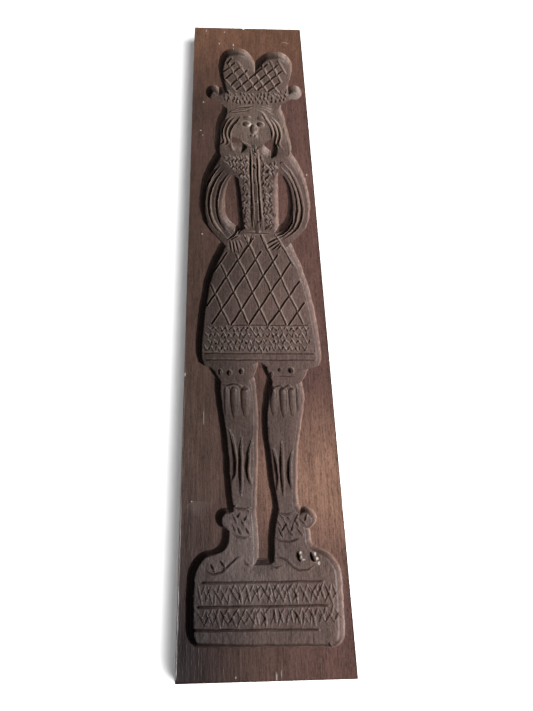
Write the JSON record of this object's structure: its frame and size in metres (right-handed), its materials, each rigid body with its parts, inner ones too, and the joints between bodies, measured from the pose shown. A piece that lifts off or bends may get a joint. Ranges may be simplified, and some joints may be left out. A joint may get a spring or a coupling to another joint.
{
  "type": "wooden speculaas mould",
  "caption": "Long wooden biscuit mould: a flat board with a folk figure in a hat and skirt sunk into its face.",
  "frame": {"origin": "centre of the flat underside", "axes": "+X across the board to the figure's left hand, +Y along the board towards the hat, +Z out of the carved face"},
  "size_m": [0.123, 0.7, 0.022],
  "materials": {
    "stained_wood": "old dark stain, worn to a dull satin"
  },
  "bodies": {
    "root": {"mould_board": "stained_wood"}
  },
  "joints": []
}
